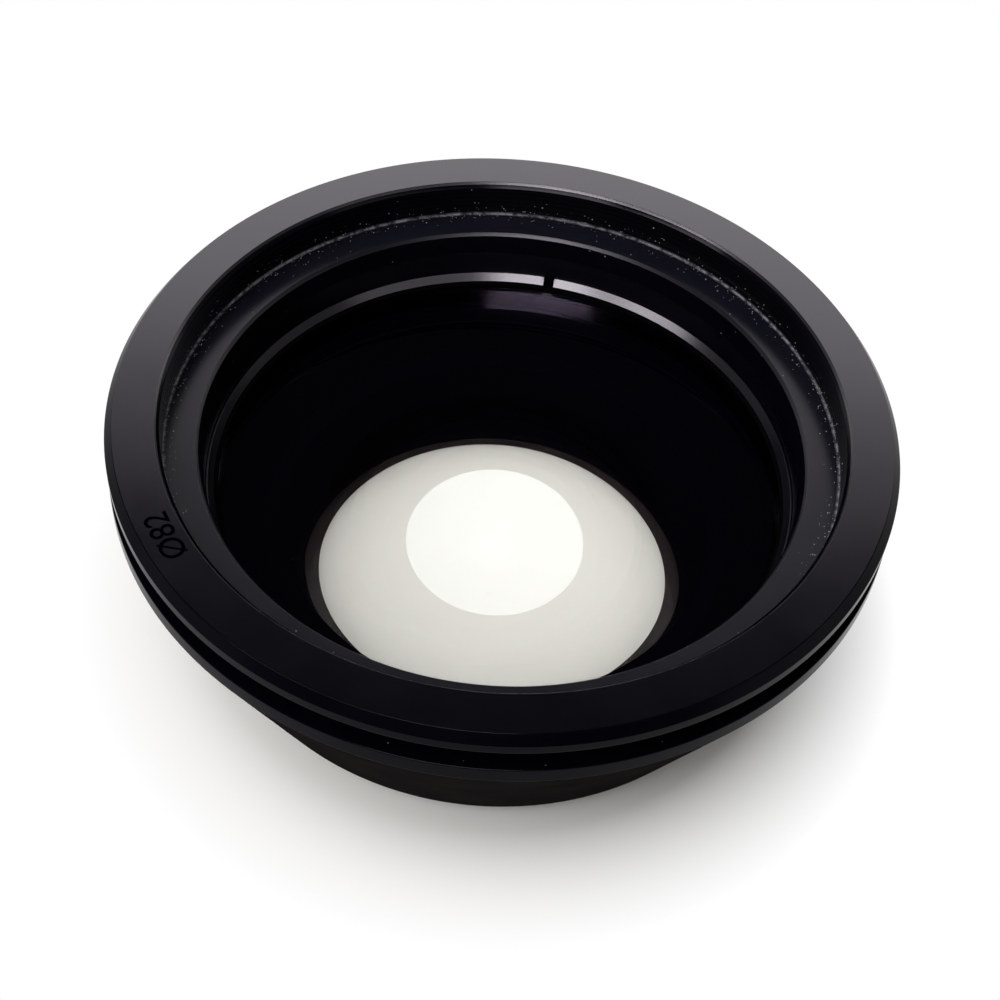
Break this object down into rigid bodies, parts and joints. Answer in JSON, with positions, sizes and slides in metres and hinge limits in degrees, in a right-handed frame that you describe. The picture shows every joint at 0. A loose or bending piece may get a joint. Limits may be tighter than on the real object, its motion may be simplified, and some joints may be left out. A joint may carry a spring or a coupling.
{
  "type": "wide-angle conversion lens",
  "caption": "Wide-angle converter for a camera lens: a conical black barrel with a threaded front ring, a thick hollow-backed front glass, a thin rear glass and a threaded rear mount.",
  "frame": {"origin": "centre of the rear end face, on the optical axis, where the lens stands on a table", "axes": "+Z along the optical axis, from the rear mount towards the front ring; +X and +Y are square to it, with the spanner slots of the rear retaining ring on X"},
  "size_m": [0.094, 0.094, 0.033],
  "materials": {
    "anodised_black": "satin",
    "coated_glass": "polished",
    "seal_rubber": "matte",
    "screw_steel": "blackened"
  },
  "bodies": {
    "root": {"front_ring": "anodised_black", "ring_set_screws": "screw_steel", "barrel": "anodised_black", "front_element": "coated_glass", "front_seal": "seal_rubber", "front_retaining_ring": "anodised_black", "rear_mount": "anodised_black", "spacing_shim": "anodised_black", "rear_element": "coated_glass", "rear_retaining_ring": "anodised_black"}
  },
  "joints": []
}
